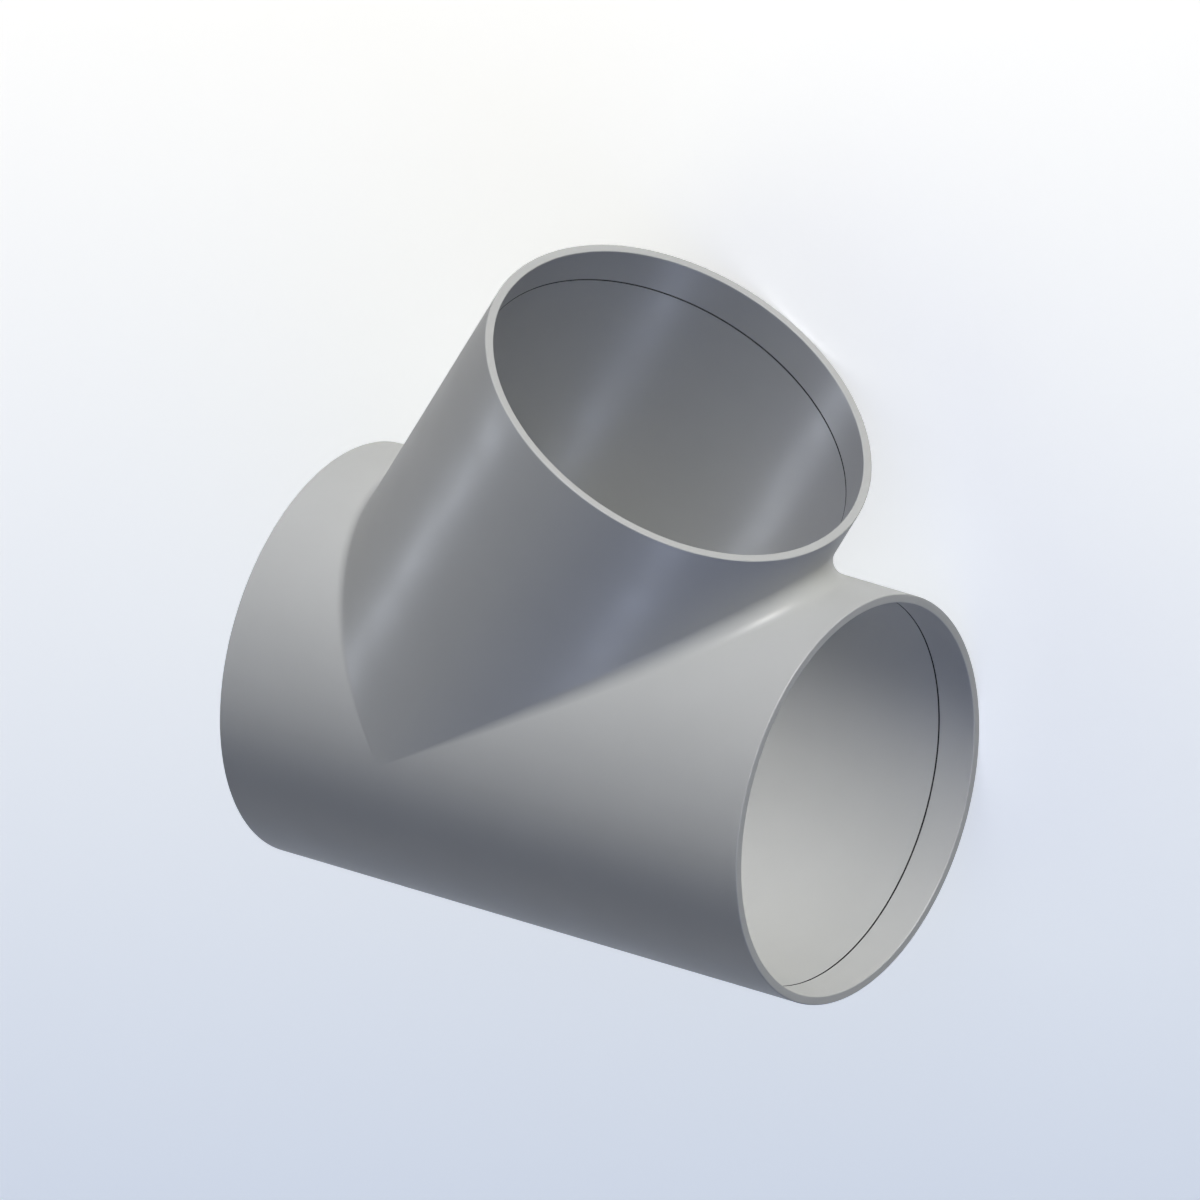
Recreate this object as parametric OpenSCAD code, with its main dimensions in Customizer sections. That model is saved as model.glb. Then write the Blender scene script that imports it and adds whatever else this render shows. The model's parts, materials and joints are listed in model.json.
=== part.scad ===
// Pipe branch junction: a straight run with one slanted branch of the same diameter.
// It is one hollow piece with an even wall. A pipe goes into each of its three mouths,
// as far as a fine ring line cut round the bore, and a fillet fills both creases
// where the branch leaves the run.
// It lies flat, as it comes to rest: the run is along X, and the branch leans
// towards +X and +Y. The origin is the middle of the run's inlet mouth.

/* [Tube] */
// Outside diameter of the pipe that goes into each mouth
pipe_od = 114.3; // [60:0.1:160]
// Gap on each side between the pipe and the bore
pipe_gap = 0.25; // [0.1:0.05:0.8]
// Thickness of the wall
wall = 2.6; // [2:0.1:6]

/* [Ring line] */
// How far a pipe goes in, from the mouth to the ring line
line_depth = 12; // [6:0.5:17]
// Width of the ring line
line_width = 0.4; // [0.2:0.05:1]
// How deep the ring line is cut into the wall
line_cut = 0.4; // [0.1:0.05:0.8]

/* [Arms] */
// Angle between the branch and the outlet half of the run
branch_angle = 60; // [45:1:90]
// Plain tube at the inlet, past the crease of the branch
inlet_tail = 20; // [18:1:120]
// Plain tube at the outlet, past the crease of the branch
outlet_tail = 20; // [18:1:120]
// Plain tube at the end of the branch, past the crease of the run
branch_tail = 20; // [18:1:120]

/* [Crease] */
// Radius of the ball whose track along a crease is the fillet
fillet_radius = 5; // [3:0.5:10]

/* [Hidden] */
body_colour = [0.72, 0.72, 0.70];
$fn = 180;

// Radii of the bore and of the outside
bore_r = pipe_od / 2 + pipe_gap;
body_r = bore_r + wall;

// Lengths of the arms, from the point where the axes cross to each mouth
inlet_len = body_r * tan(branch_angle / 2) + inlet_tail;
outlet_len = body_r / tan(branch_angle / 2) + outlet_tail;
branch_len = body_r / tan(branch_angle / 2) + branch_tail;

// Directions of the arms, seen from the crossing of the axes
inlet_dir = [-1, 0, 0];
outlet_dir = [1, 0, 0];
branch_dir = [cos(branch_angle), sin(branch_angle), 0];

// A cut starts this far outside the face that it opens
cut_over = 1;

// The fillet's faces are this far under the walls where they run out, so that they cross them
fillet_sink = 0.02;
// The fillet's root is this far under the crease, inside the wall
fillet_root = wall / 2;
// First and last position along a crease, measured round the tube from its highest line
fillet_start = 3;
// Faces along a crease and across the fillet
fillet_steps = 56;
fillet_faces = 8;

// The unit vector along v
function unit(v) = v / norm(v);

// The part of v that points away from an axis
function away(v, axis) = v - (v * axis) * axis;

// The ball's middle touches both arms a and b. It moves on the curve where two tubes cross
// that are wider than the arms by the ball's radius. turn is 0 on top and 180 below.
function ball_middle(a, b, turn) =
    let (
        reach = body_r + fillet_radius,
        between = unit(a + b),
        spread = norm(a - b) / 2
    )
    reach * (sin(turn) / spread * between + cos(turn) * [0, 0, 1]);

// One cross-section of the fillet: an arc from arm a to arm b, then the root in the wall
function fillet_section(a, b, turn) =
    let (
        middle = ball_middle(a, b, turn),
        to_a = -unit(away(middle, a)),
        to_b = -unit(away(middle, b)),
        span = acos(to_a * to_b),
        arc_r = fillet_radius + fillet_sink,
        root_r = fillet_radius / cos(span / 2) + fillet_root
    )
    concat(
        [for (i = [0:fillet_faces])
            let (part = i / fillet_faces * span)
            middle + arc_r * (sin(span - part) * to_a + sin(part) * to_b) / sin(span)],
        [middle + root_r * unit(to_a + to_b)]
    );

// The solid fillet along the crease between arms a and b
module crease_fillet(a, b) {
    ring = fillet_faces + 2;
    turn_step = (180 - 2 * fillet_start) / fillet_steps;
    points = [
        for (k = [0:fillet_steps])
            each fillet_section(a, b, fillet_start + k * turn_step)
    ];
    first_cap = [for (i = [0:ring - 1]) ring - 1 - i];
    last_cap = [for (i = [0:ring - 1]) fillet_steps * ring + i];
    sides = [
        for (k = [0:fillet_steps - 1])
            for (i = [0:ring - 1])
                let (
                    here = k * ring + i,
                    beside = k * ring + (i + 1) % ring,
                    next = here + ring,
                    next_beside = beside + ring
                )
                each [[here, next_beside, next], [here, beside, next_beside]]
    ];
    polyhedron(points = points, faces = concat([first_cap, last_cap], sides));
}

// Turns a child that stands on the crossing of the axes, so that it points along an arm
module along(dir) {
    rotate([0, 90, atan2(dir[1], dir[0])])
        children();
}

// The outside of one arm
module arm(dir, len) {
    along(dir)
        cylinder(r = body_r, h = len);
}

// The bore of one arm, with the ring line that shows how far a pipe goes in
module arm_bore(dir, len) {
    along(dir) {
        cylinder(r = bore_r, h = len + cut_over);
        translate([0, 0, len - line_depth - line_width])
            cylinder(r = bore_r + line_cut, h = line_width);
    }
}

// The outside of the run, through both of its ends
module run_tube() {
    translate([-inlet_len, 0, 0])
        along(outlet_dir)
            cylinder(r = body_r, h = inlet_len + outlet_len);
}

// The one piece of the junction
module junction_body() {
    color(body_colour)
    translate([inlet_len, 0, 0])
    difference() {
        union() {
            run_tube();
            arm(branch_dir, branch_len);
            crease_fillet(outlet_dir, branch_dir);
            crease_fillet(branch_dir, inlet_dir);
        }
        arm_bore(inlet_dir, inlet_len);
        arm_bore(outlet_dir, outlet_len);
        arm_bore(branch_dir, branch_len);
    }
}

junction_body();
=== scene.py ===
"""Looks of the pipe branch junction: its shell, its plastic, the floor, the lamps and the camera."""
import json
import math

import bpy
from mathutils import Matrix, Vector


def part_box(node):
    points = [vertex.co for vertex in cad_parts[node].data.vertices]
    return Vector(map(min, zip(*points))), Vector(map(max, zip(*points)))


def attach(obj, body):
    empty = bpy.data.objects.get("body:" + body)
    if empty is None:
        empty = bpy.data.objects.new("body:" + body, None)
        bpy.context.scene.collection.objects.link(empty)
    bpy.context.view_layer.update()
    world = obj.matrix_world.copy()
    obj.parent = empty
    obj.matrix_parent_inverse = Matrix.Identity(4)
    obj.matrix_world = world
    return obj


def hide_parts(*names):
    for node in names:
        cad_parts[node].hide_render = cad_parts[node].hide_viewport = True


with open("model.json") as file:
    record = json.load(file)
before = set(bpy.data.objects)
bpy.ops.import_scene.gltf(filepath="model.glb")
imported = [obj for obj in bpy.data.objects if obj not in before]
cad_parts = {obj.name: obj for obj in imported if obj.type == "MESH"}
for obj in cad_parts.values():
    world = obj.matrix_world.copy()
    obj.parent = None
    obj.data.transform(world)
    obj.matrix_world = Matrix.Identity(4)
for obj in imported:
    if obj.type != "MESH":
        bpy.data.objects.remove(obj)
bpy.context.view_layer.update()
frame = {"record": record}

MM = 0.001
UP = Vector((0, 0, 1))

# What the frame says about the fitting
record = frame["record"]
mounts = {m["name"]: m for m in record["mounts"]}
box_low, box_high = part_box("junction_body")
tube_r = (box_high.z - box_low.z) / 2
bore_r = mounts["branch_mouth"]["dims"]["r_mm"] * MM
branch_mouth = Vector(mounts["branch_mouth"]["pos_m"])
branch_dir = Vector(mounts["branch_mouth"]["axis"])
inlet_mouth = Vector(mounts["inlet_mouth"]["pos_m"])
outlet_mouth = Vector(mounts["outlet_mouth"]["pos_m"])
crossing = branch_mouth - branch_dir * (branch_mouth.y / branch_dir.y)

# Small forms of the shell
FILLET_R = 5 * MM
RIM_ROUND = 0.35 * MM
BORE_EDGE_ROUND = 0.5 * MM
# The ring line inside each mouth
LINE_DEPTH = 12 * MM
LINE_WIDTH = 0.4 * MM
LINE_CUT = 0.4 * MM
LINE_EDGE_ROUND = 0.06 * MM
# How far from the line the bore is plain again, with no painted shade, in roundings of the line's edge
LINE_GUARD = 1.3

# Fineness of the shell's mesh: the points round a tube, then the faces across a fillet, across the
# edge where two bores meet, across a small rounding and along a plain tube
RING = 288
FILLET_FACES = 12
BORE_EDGE_FACES = 4
ROUND_FACES = 5
LONG_FACES = 14
# Arms this close to a straight line, in radians, have no crease between them
STRAIGHT = 1e-4

# The photo's frame: its size, where the axes cross in it, and the tube's radius in it
PHOTO_PX = 1200
CROSSING_PX = (499.21, 693.48)
TUBE_R_PX = 212.08
# The photo's view of the fitting, with the branch standing up
PHOTO_AZIMUTH = math.radians(35)
PHOTO_ELEVATION = math.radians(25)

# The plastic: its colour, and the near black painted into its ring lines as shade
PLASTIC = (0.5, 0.5, 0.48)
# A near black painted into the ring lines as shade, so that each groove reads dark as if in shadow
PAINTED_LINE_SHADE = (0.02, 0.02, 0.02)
LINE_SHADE_ATTRIBUTE = "line_shade"
# Its gloss, as the shader's specular level
GLOSS = 0.2
# Its mottle, its change of roughness and its grain: how far they go, and the size of their features
MOTTLE = 0.012
MOTTLE_SIZE = 18 * MM
ROUGHNESS = (0.39, 0.45)
SHINE_SIZE = 12 * MM
GRAIN_DEPTH = 0.004 * MM
GRAIN_SIZE = 0.5 * MM
# Nearly all values of a noise texture lie between these two
NOISE_LOW = 0.3
NOISE_HIGH = 0.7

# The floor: its half width, and its colour at the back and at the front of the picture in sRGB
FLOOR_HALF = 3.0
FLOOR_BACK = (255, 255, 255)
FLOOR_FRONT = (205, 214, 230)
# The points of the ramp between the two, and the floor's colour for the light that bounces
FLOOR_STOPS = 6
FLOOR_BOUNCE = (0.08, 0.08, 0.08)

# What is seen high up, and the heights where it begins and is full, as the sine of the angle
CEILING = (0.25, 0.26, 0.28)
CEILING_FROM = 0.15
CEILING_TO = 0.6

# The light from all round
AROUND = (0.075, 0.077, 0.095)
# The lamps, all suns: where each comes from, how wide it looks in degrees, its light and its kind.
# The two keys come from past the branch, and fainter light comes from the other sides. Only the
# window casts a shadow. The three that only shine make the streaks and the fillet's glint.
CASTS_SHADOW = "casts a shadow"
NO_SHADOW = "casts no shadow"
SHINE_ONLY = "only shines, with no shadow"
LAMPS = [
    ("key_behind", (0.03, 0.96, 0.28), 25, (1.11, 1.14, 1.32), NO_SHADOW),
    ("key_right", (0.52, 0.84, 0.10), 25, (2.06, 2.04, 1.85), NO_SHADOW),
    ("fill_right", (0.60, -0.60, 0.50), 60, (0.13, 0.18, 0.37), NO_SHADOW),
    ("fill_camera", (0.52, 0.42, 0.74), 60, (0.02, 0.06, 0.18), NO_SHADOW),
    ("window_left", (-0.50, -0.30, 0.81), 40, (0.29, 0.28, 0.17), CASTS_SHADOW),
    ("shine_left", (-0.93, -0.16, 0.35), 2, (0.73, 0.78, 0.88), SHINE_ONLY),
    ("shine_front", (0.26, -0.84, 0.47), 2, (0.67, 0.75, 0.99), SHINE_ONLY),
    ("shine_behind", (0.29, 0.94, 0.18), 2, (5.5, 5.5, 5.4), SHINE_ONLY),
]


class Shell:
    """Points of the shell with their normals and painted line shade, and its faces, as they are made.
    """

    def __init__(self):
        self.points = []
        self.normals = []
        self.line_shade = []
        self.faces = []

    def point(self, place, normal, line_shade=0.0):
        """Adds one point and gives its number."""
        self.points.append(place)
        self.normals.append(normal.normalized())
        self.line_shade.append(line_shade)
        return len(self.points) - 1

    def strip(self, first, second):
        """Quads between two rows of point numbers. A point that both rows share makes a triangle."""
        for a, b, c, d in zip(first, second, second[1:], first[1:]):
            corners = list(dict.fromkeys((a, b, c, d)))
            if len(corners) > 2:
                self.faces.append(corners)


def in_plane(angle):
    """The direction at an angle from +X in the plane of the axes."""
    return Vector((math.cos(angle), math.sin(angle), 0))


def make_arms():
    """The three arms in order round the crossing: direction, length and the angle to the next arm."""
    mouths = [outlet_mouth, branch_mouth, inlet_mouth]
    angles = [math.atan2(m.y - crossing.y, m.x - crossing.x) for m in mouths]
    next_angles = angles[1:] + angles[:1]
    gaps = [(b - a) % math.tau for a, b in zip(angles, next_angles)]
    return [
        {"angle": a, "length": (m - crossing).length, "gap": g}
        for m, a, g in zip(mouths, angles, gaps)
    ]


def radial(arm, turn):
    """The direction away from an arm's axis. turn is 0 at the top and grows towards the next arm."""
    side = in_plane(arm["angle"] + math.pi / 2)
    return math.cos(turn) * UP + math.sin(turn) * side


def seam_reach(gap, turn, reach):
    """How far along an arm the meeting with its neighbour lies, for tubes of the radius reach."""
    return reach * abs(math.sin(turn)) / math.tan(gap / 2)


def seam_rings(shell, arms, wall_r, ball_r, faces, side):
    """The points where each arm ends at its neighbours, a ring for each arm, and the fillets between.

    A ball of radius ball_r rolls in each crease between tubes of radius wall_r. It touches each
    tube along the arm's ring, and its surface between the two rings is the fillet. side is 1
    where the wall is looked at from outside the tubes, and -1 from inside.
    """
    half = RING // 2
    reach = wall_r + ball_r
    tips = [
        shell.point(crossing + wall_r * UP, side * UP),
        shell.point(crossing - wall_r * UP, -side * UP),
    ]
    rings = [[None] * RING for _ in arms]
    for ring in rings:
        ring[0] = tips[0]
        ring[half] = tips[1]
    sections = []
    for i, arm in enumerate(arms):
        j = (i + 1) % len(arms)
        straight = abs(arm["gap"] - math.pi) < STRAIGHT
        rows = [[tips[0]] * (faces + 1)]
        for k in range(1, half):
            turn = math.tau * k / RING
            out_i = radial(arm, turn)
            out_j = radial(arms[j], -turn)
            along_i = seam_reach(arm["gap"], turn, reach) * in_plane(arm["angle"])
            middle = crossing + along_i + reach * out_i
            if straight:
                both = shell.point(middle - ball_r * out_i, side * out_i)
                rings[i][k] = both
                rings[j][RING - k] = both
                continue
            span = math.acos(max(-1.0, min(1.0, out_i.dot(out_j))))
            row = []
            for n in range(faces + 1):
                part = span * n / faces
                out = (math.sin(span - part) * out_i + math.sin(part) * out_j) / math.sin(span)
                row.append(shell.point(middle - ball_r * out, side * out))
            rings[i][k] = row[0]
            rings[j][RING - k] = row[-1]
            rows.append(row)
        if not straight:
            rows.append([tips[1]] * (faces + 1))
            sections.append(rows)
    return rings, sections


def mouth_profile():
    """A mouth's rim and ring line in section: radius, depth, the normal's two parts and the painted
    shade.
    """
    profile = []

    def arc(mid_r, mid_back, round_r, start, end, line_shade=0.0, hollow=False):
        """An arc in section. 0 degrees faces away from the axis, and 90 degrees out of the mouth."""
        sign = -1 if hollow else 1
        for n in range(ROUND_FACES + 1):
            a = math.radians(start + (end - start) * n / ROUND_FACES)
            radial_part, axial_part = math.cos(a), math.sin(a)
            profile.append((
                mid_r + round_r * radial_part,
                mid_back - round_r * axial_part,
                sign * radial_part,
                sign * axial_part,
                line_shade,
            ))

    def plain(back):
        """A point on the bore, with no painted shade."""
        profile.append((bore_r, back, -1.0, 0.0, 0.0))

    arc(tube_r - RIM_ROUND, RIM_ROUND, RIM_ROUND, 0, 90)
    arc(bore_r + RIM_ROUND, RIM_ROUND, RIM_ROUND, 90, 180)
    half = LINE_WIDTH / 2
    edge = LINE_EDGE_ROUND
    plain(LINE_DEPTH - LINE_GUARD * edge)
    # The ring line's points carry painted shade, which darkens its groove as a shadow would
    arc(bore_r + edge, LINE_DEPTH - edge, edge, 180, 270, line_shade=1.0)
    arc(bore_r + LINE_CUT - half, LINE_DEPTH + half, half, 90, -90, line_shade=1.0, hollow=True)
    arc(bore_r + edge, LINE_DEPTH + LINE_WIDTH + edge, edge, 90, 180, line_shade=1.0)
    plain(LINE_DEPTH + LINE_WIDTH + LINE_GUARD * edge)
    return profile


def arm_rings(shell, arm, outer_ring, inner_ring):
    """All rings of one arm, from the outer seam over the mouth to the inner seam."""
    along = in_plane(arm["angle"])
    outs = [radial(arm, math.tau * k / RING) for k in range(RING)]
    profile = mouth_profile()
    rings = [outer_ring]

    def stretch(seam, end, sign, forward):
        """Rings between a seam and the mouth's profile, on the outer wall or on the bore."""
        made = []
        for n in range(1, LONG_FACES):
            share = n / LONG_FACES
            ring = []
            for k, out in enumerate(outs):
                start = shell.points[seam[k]]
                start_along = (start - crossing).dot(along)
                place = start + along * (end - start_along) * share
                ring.append(shell.point(place, sign * out))
            made.append(ring)
        return made if forward else made[::-1]

    rings += stretch(outer_ring, arm["length"] - profile[0][1], 1, True)
    for radius, back, radial_part, axial_part, line_shade in profile:
        middle = crossing + along * (arm["length"] - back)
        rings.append([
            shell.point(middle + radius * out, radial_part * out + axial_part * along, line_shade)
            for out in outs
        ])
    rings += stretch(inner_ring, arm["length"] - profile[-1][1], -1, False)
    rings.append(inner_ring)
    return rings


def build_shell():
    """The whole moulded body as one closed smooth mesh, and the shell with its true normals."""
    shell = Shell()
    arms = make_arms()
    outer, outer_fillets = seam_rings(shell, arms, tube_r, FILLET_R, FILLET_FACES, 1)
    inner, inner_fillets = seam_rings(shell, arms, bore_r, BORE_EDGE_ROUND, BORE_EDGE_FACES, -1)
    for arm, outer_ring, inner_ring in zip(arms, outer, inner):
        rings = arm_rings(shell, arm, outer_ring, inner_ring)
        closed = [ring + ring[:1] for ring in rings]
        for first, second in zip(closed, closed[1:]):
            shell.strip(first, second)
    for rows in outer_fillets:
        for first, second in zip(rows, rows[1:]):
            shell.strip(first, second)
    for rows in inner_fillets:
        for first, second in zip(rows, rows[1:]):
            shell.strip(second, first)
    mesh = bpy.data.meshes.new("junction_shell")
    mesh.from_pydata(shell.points, [], shell.faces)
    mesh.validate()
    mesh.polygons.foreach_set("use_smooth", [True] * len(mesh.polygons))
    mesh.update()
    mesh.attributes.new(LINE_SHADE_ATTRIBUTE, "FLOAT", "POINT").data.foreach_set("value", shell.line_shade)
    piece = bpy.data.objects.new("junction_shell", mesh)
    bpy.context.scene.collection.objects.link(piece)
    return piece, shell


def set_true_normals(piece, shell):
    """Gives the mesh the exact normals of its surfaces, so that no facet shows."""
    piece.data.normals_split_custom_set_from_vertices([tuple(n) for n in shell.normals])


def noise(nodes, links, place, size, detail):
    """A noise texture with features of about the given size."""
    texture = nodes.new("ShaderNodeTexNoise")
    texture.inputs["Scale"].default_value = 1 / size
    texture.inputs["Detail"].default_value = detail
    links.new(place, texture.inputs["Vector"])
    return texture.outputs["Fac"]


def spread(nodes, links, value, low, high):
    """A noise texture's value, spread from low to high."""
    ranged = nodes.new("ShaderNodeMapRange")
    ranged.inputs["From Min"].default_value = NOISE_LOW
    ranged.inputs["From Max"].default_value = NOISE_HIGH
    ranged.inputs["To Min"].default_value = low
    ranged.inputs["To Max"].default_value = high
    links.new(value, ranged.inputs["Value"])
    return ranged.outputs["Result"]


def make_plastic():
    """Satin light grey plastic: a fine moulded grain, a faint mottle, and painted shade in the ring
    lines.
    """
    material = bpy.data.materials.new("satin_grey_plastic")
    material.use_nodes = True
    nodes, links = material.node_tree.nodes, material.node_tree.links
    shader = nodes["Principled BSDF"]
    place = nodes.new("ShaderNodeTexCoord").outputs["Object"]

    clouds = noise(nodes, links, place, MOTTLE_SIZE, detail=3)
    plain = nodes.new("ShaderNodeVectorMath")
    plain.operation = "SCALE"
    plain.inputs[0].default_value = PLASTIC
    links.new(spread(nodes, links, clouds, 1 - MOTTLE, 1 + MOTTLE), plain.inputs["Scale"])
    # Painted shade: where a ring line's points carry it, the colour turns near black and the surface
    # fully rough
    line_shade = nodes.new("ShaderNodeAttribute")
    line_shade.attribute_name = LINE_SHADE_ATTRIBUTE
    colour = nodes.new("ShaderNodeMix")
    colour.data_type = "RGBA"
    colour.inputs["B"].default_value = (*PAINTED_LINE_SHADE, 1)
    links.new(line_shade.outputs["Fac"], colour.inputs["Factor"])
    links.new(plain.outputs["Vector"], colour.inputs["A"])
    links.new(colour.outputs["Result"], shader.inputs["Base Color"])

    shader.inputs["Specular IOR Level"].default_value = GLOSS
    shine = noise(nodes, links, place, SHINE_SIZE, detail=2)
    rough = nodes.new("ShaderNodeMath")
    rough.operation = "MAXIMUM"
    links.new(spread(nodes, links, shine, *ROUGHNESS), rough.inputs[0])
    links.new(line_shade.outputs["Fac"], rough.inputs[1])
    links.new(rough.outputs["Value"], shader.inputs["Roughness"])

    grain = nodes.new("ShaderNodeBump")
    grain.inputs["Strength"].default_value = 1
    grain.inputs["Distance"].default_value = GRAIN_DEPTH
    links.new(noise(nodes, links, place, GRAIN_SIZE, detail=2), grain.inputs["Height"])
    links.new(grain.outputs["Normal"], shader.inputs["Normal"])
    return material


def photo_camera():
    """An orthographic camera in the photo's place. The branch stands up in it, so its up is near +Y."""
    across = math.cos(PHOTO_ELEVATION)
    back = Vector((
        math.sin(PHOTO_AZIMUTH) * across,
        math.sin(PHOTO_ELEVATION),
        math.cos(PHOTO_AZIMUTH) * across,
    ))
    right = Vector((math.cos(PHOTO_AZIMUTH), 0, -math.sin(PHOTO_AZIMUTH)))
    up = back.cross(right)
    scale = tube_r / TUBE_R_PX
    aim = crossing + scale * (
        (PHOTO_PX / 2 - CROSSING_PX[0]) * right + (CROSSING_PX[1] - PHOTO_PX / 2) * up
    )
    data = bpy.data.cameras.new("photo_camera")
    data.type = "ORTHO"
    data.ortho_scale = PHOTO_PX * scale
    camera = bpy.data.objects.new("photo_camera", data)
    turned = Matrix((right, up, back)).transposed().to_4x4()
    camera.matrix_world = Matrix.Translation(aim + back) @ turned
    bpy.context.scene.collection.objects.link(camera)
    bpy.context.scene.camera = camera
    return aim, up


def linear(share):
    """The linear value of an sRGB share from 0 to 1."""
    return share / 12.92 if share <= 0.04045 else ((share + 0.055) / 1.055) ** 2.4


def seen_or_bounced(nodes, links, seen, bounced):
    """One shader for what the camera, gloss and glass see, and another for the light that bounces."""
    path = nodes.new("ShaderNodeLightPath")
    both = nodes.new("ShaderNodeMath")
    both.operation = "MAXIMUM"
    links.new(path.outputs["Is Camera Ray"], both.inputs[0])
    links.new(path.outputs["Is Glossy Ray"], both.inputs[1])
    all_three = nodes.new("ShaderNodeMath")
    all_three.operation = "MAXIMUM"
    links.new(both.outputs["Value"], all_three.inputs[0])
    links.new(path.outputs["Is Transmission Ray"], all_three.inputs[1])
    mix = nodes.new("ShaderNodeMixShader")
    links.new(all_three.outputs["Value"], mix.inputs["Fac"])
    links.new(bounced, mix.inputs[1])
    links.new(seen, mix.inputs[2])
    return mix.outputs["Shader"]


def floor_colour(nodes, links, aim, up):
    """White at the back of the floor, turning pale blue towards the front."""
    place = nodes.new("ShaderNodeNewGeometry").outputs["Position"]
    along = nodes.new("ShaderNodeVectorMath")
    along.operation = "DOT_PRODUCT"
    along.inputs[1].default_value = (up.x, up.y, 0)
    links.new(place, along.inputs[0])
    middle = up.dot(aim) - up.z * box_low.z
    half = PHOTO_PX / 2 * tube_r / TUBE_R_PX
    ranged = nodes.new("ShaderNodeMapRange")
    ranged.inputs["From Min"].default_value = middle + half
    ranged.inputs["From Max"].default_value = middle - half
    links.new(along.outputs["Value"], ranged.inputs["Value"])
    ramp = nodes.new("ShaderNodeValToRGB")
    elements = ramp.color_ramp.elements
    while len(elements) < FLOOR_STOPS:
        elements.new(len(elements) / FLOOR_STOPS)
    for n, element in enumerate(elements):
        share = n / (FLOOR_STOPS - 1)
        element.position = share
        mixed = [back + share * (front - back) for back, front in zip(FLOOR_BACK, FLOOR_FRONT)]
        element.color = (*[linear(value / 255) for value in mixed], 1)
    links.new(ranged.outputs["Result"], ramp.inputs["Fac"])
    return ramp.outputs["Color"]


def floor_light():
    """How bright a white floor would be in the light, with no shadow, for each colour channel."""
    total = list(AROUND)
    for _, came_from, _, light, kind in LAMPS:
        if kind != SHINE_ONLY:
            share = max(0.0, Vector(came_from).normalized().z) / math.pi
            total = [sum_so_far + share * channel for sum_so_far, channel in zip(total, light)]
    return total


def see_through_from_below(nodes, links, shader):
    """The shader, which the camera looks through when it is under the floor."""
    behind = nodes.new("ShaderNodeMath")
    behind.operation = "MULTIPLY"
    links.new(nodes.new("ShaderNodeNewGeometry").outputs["Backfacing"], behind.inputs[0])
    links.new(nodes.new("ShaderNodeLightPath").outputs["Is Camera Ray"], behind.inputs[1])
    mix = nodes.new("ShaderNodeMixShader")
    links.new(behind.outputs["Value"], mix.inputs["Fac"])
    links.new(shader, mix.inputs[1])
    links.new(nodes.new("ShaderNodeBsdfTransparent").outputs["BSDF"], mix.inputs[2])
    return mix.outputs["Shader"]


def make_floor(aim, up):
    """The pale floor. It glows a little in its own colour, so that it is pale in the plain light."""
    mesh = bpy.data.meshes.new("floor")
    signs = [(-1, -1), (1, -1), (1, 1), (-1, 1)]
    corners = [(FLOOR_HALF * x, FLOOR_HALF * y, box_low.z) for x, y in signs]
    mesh.from_pydata(corners, [], [(0, 1, 2, 3)])
    floor = bpy.data.objects.new("floor", mesh)
    bpy.context.scene.collection.objects.link(floor)
    material = bpy.data.materials.new("floor_paint")
    material.use_nodes = True
    nodes, links = material.node_tree.nodes, material.node_tree.links
    nodes.clear()
    colour = floor_colour(nodes, links, aim, up)
    glow = nodes.new("ShaderNodeEmission")
    missing = nodes.new("ShaderNodeVectorMath")
    missing.operation = "MULTIPLY"
    missing.inputs[1].default_value = [1 - channel for channel in floor_light()]
    links.new(colour, missing.inputs[0])
    links.new(missing.outputs["Vector"], glow.inputs["Color"])
    lit = nodes.new("ShaderNodeBsdfDiffuse")
    links.new(colour, lit.inputs["Color"])
    shown = nodes.new("ShaderNodeAddShader")
    links.new(glow.outputs["Emission"], shown.inputs[0])
    links.new(lit.outputs["BSDF"], shown.inputs[1])
    plain = nodes.new("ShaderNodeBsdfDiffuse")
    plain.inputs["Color"].default_value = (*FLOOR_BOUNCE, 1)
    mixed = seen_or_bounced(nodes, links, shown.outputs["Shader"], plain.outputs["BSDF"])
    output = nodes.new("ShaderNodeOutputMaterial")
    links.new(see_through_from_below(nodes, links, mixed), output.inputs["Surface"])
    mesh.materials.append(material)


def make_world():
    """Faint light from all round. What is seen past the floor is pale, and darker high up."""
    world = bpy.data.worlds.new("studio")
    world.use_nodes = True
    nodes, links = world.node_tree.nodes, world.node_tree.links
    around = nodes["Background"]
    around.inputs["Color"].default_value = (*AROUND, 1)
    around.inputs["Strength"].default_value = 1
    split = nodes.new("ShaderNodeSeparateXYZ")
    links.new(nodes.new("ShaderNodeTexCoord").outputs["Generated"], split.inputs["Vector"])
    ramp = nodes.new("ShaderNodeValToRGB")
    low, high = ramp.color_ramp.elements
    low.position, high.position = CEILING_FROM, CEILING_TO
    low.color = (*[linear(value / 255) for value in FLOOR_BACK], 1)
    high.color = (*CEILING, 1)
    links.new(split.outputs["Z"], ramp.inputs["Fac"])
    backdrop = nodes.new("ShaderNodeBackground")
    backdrop.inputs["Strength"].default_value = 1
    links.new(ramp.outputs["Color"], backdrop.inputs["Color"])
    mixed = seen_or_bounced(nodes, links, backdrop.outputs["Background"], around.outputs["Background"])
    links.new(mixed, nodes["World Output"].inputs["Surface"])
    bpy.context.scene.world = world


def make_lamps():
    """The suns of the table LAMPS."""
    for name, came_from, width, light, kind in LAMPS:
        lamp = bpy.data.lights.new(name, "SUN")
        lamp.energy = max(light)
        lamp.color = [channel / lamp.energy for channel in light]
        lamp.angle = math.radians(width)
        lamp.use_shadow = kind == CASTS_SHADOW
        sun = bpy.data.objects.new(name, lamp)
        sun.rotation_mode = "QUATERNION"
        sun.rotation_quaternion = Vector(came_from).to_track_quat("Z", "Y")
        sun.visible_diffuse = kind != SHINE_ONLY
        bpy.context.scene.collection.objects.link(sun)


piece, shell = build_shell()
set_true_normals(piece, shell)
piece.data.materials.append(make_plastic())
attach(piece, "root")
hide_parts("junction_body")
aim, up = photo_camera()
make_floor(aim, up)
make_world()
make_lamps()
bpy.context.scene.view_settings.view_transform = "Standard"
